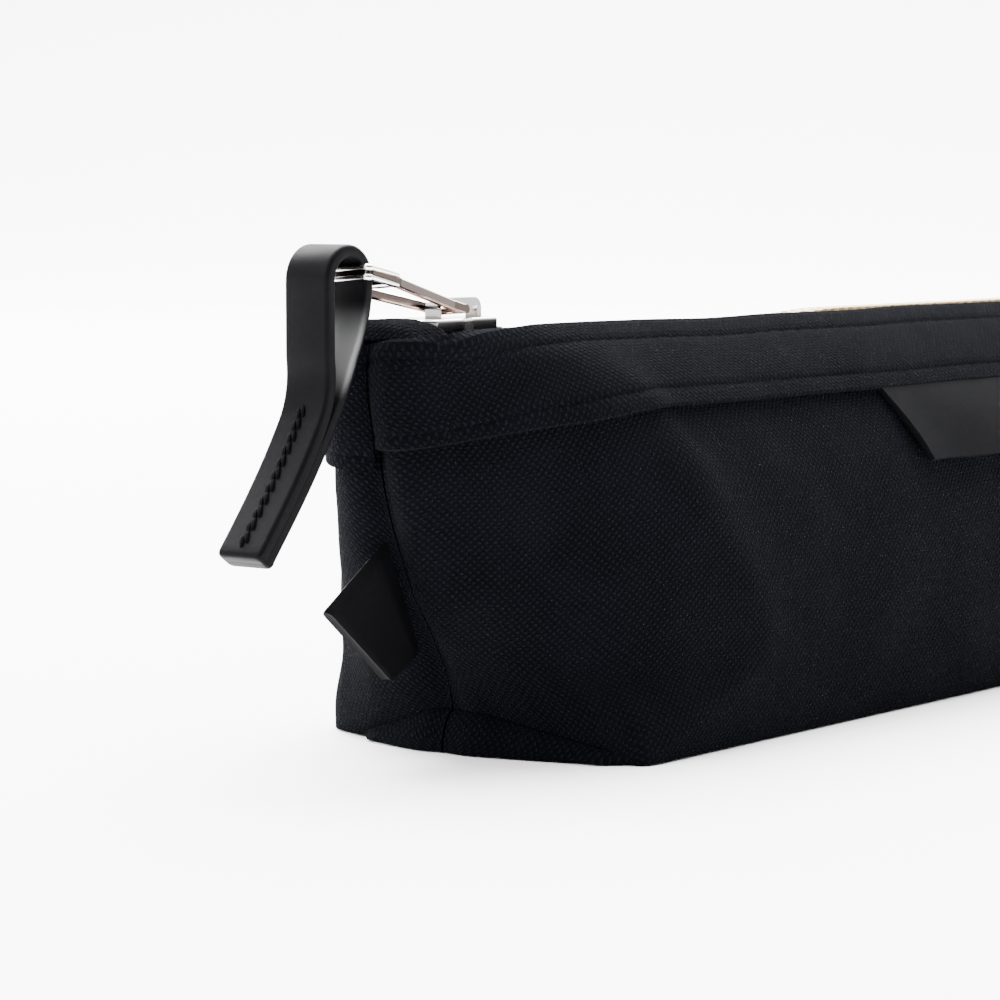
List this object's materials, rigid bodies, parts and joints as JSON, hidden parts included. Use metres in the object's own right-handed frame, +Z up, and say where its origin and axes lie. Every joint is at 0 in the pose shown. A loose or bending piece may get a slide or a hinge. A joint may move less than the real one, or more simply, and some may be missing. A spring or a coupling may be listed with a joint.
{
  "type": "shaving kit bag",
  "caption": "Black canvas shaving kit bag with a boxed base, brass-toothed zip, nickel ladder pull, folded leather strap, leather side tab and leather label.",
  "frame": {"origin": "middle of the flat base, on the surface that the bag stands on", "axes": "+X along the zip from its closed end, +Y to the back, +Z up"},
  "size_m": [0.3134, 0.072, 0.0865],
  "materials": {
    "canvas": "matte heavy weave",
    "lining_cloth": "matte fine weave",
    "zip_tape": "matte herringbone",
    "teeth_brass": "satin",
    "nickel": "polished",
    "strap_leather": "matte smooth",
    "label_leather": "matte smooth",
    "thread": "waxed twist"
  },
  "bodies": {
    "pouch": {"front_panel": "canvas", "back_panel": "canvas", "front_band": "canvas", "back_band": "canvas", "front_lining": "lining_cloth", "back_lining": "lining_cloth", "zip_tape_front": "zip_tape", "zip_tape_back": "zip_tape", "zip_teeth_front": "teeth_brass", "zip_teeth_back": "teeth_brass", "zip_top_stops": "teeth_brass", "zip_bottom_stop": "teeth_brass", "zip_end_tab_left": "canvas", "zip_end_tab_right": "canvas", "label_patch": "label_leather"},
    "slider": {"slider_body": "nickel", "slider_bridge": "nickel"},
    "pull": {"pull_frame": "nickel"},
    "strap": {"pull_strap": "strap_leather", "strap_stitching": "thread"},
    "tab": {"side_tab": "strap_leather"}
  },
  "joints": [
    {"name": "slider_travel", "type": "slide", "parent": "pouch", "child": "slider", "axis": [1, 0, 0], "range_m": [0, 0.237], "deforming": ["pull_strap", "strap_stitching", "zip_teeth_front", "zip_teeth_back"]},
    {"name": "pull_tilt", "type": "hinge", "parent": "slider", "child": "pull", "pos_m": [-0.119, 0, 0.075], "axis": [0, 1, 0], "range_deg": [-10, 155]},
    {"name": "strap_swing", "type": "hinge", "parent": "pull", "child": "strap", "pos_m": [-0.1478, 0, 0.08138], "axis": [0, 1, 0], "range_deg": [0, 68.2]},
    {"name": "side_tab_bend", "type": "hinge", "parent": "pouch", "child": "tab", "pos_m": [-0.1327, 0, 0.0268], "axis": [-0.4679, 0, 0.8838], "range_deg": [-50, 50], "stiffness_Nm_per_rad": 0.002}
  ],
  "couplings": [
    {"joint": "strap_swing", "follows": "slider_travel", "rad_per_m": 5}
  ]
}
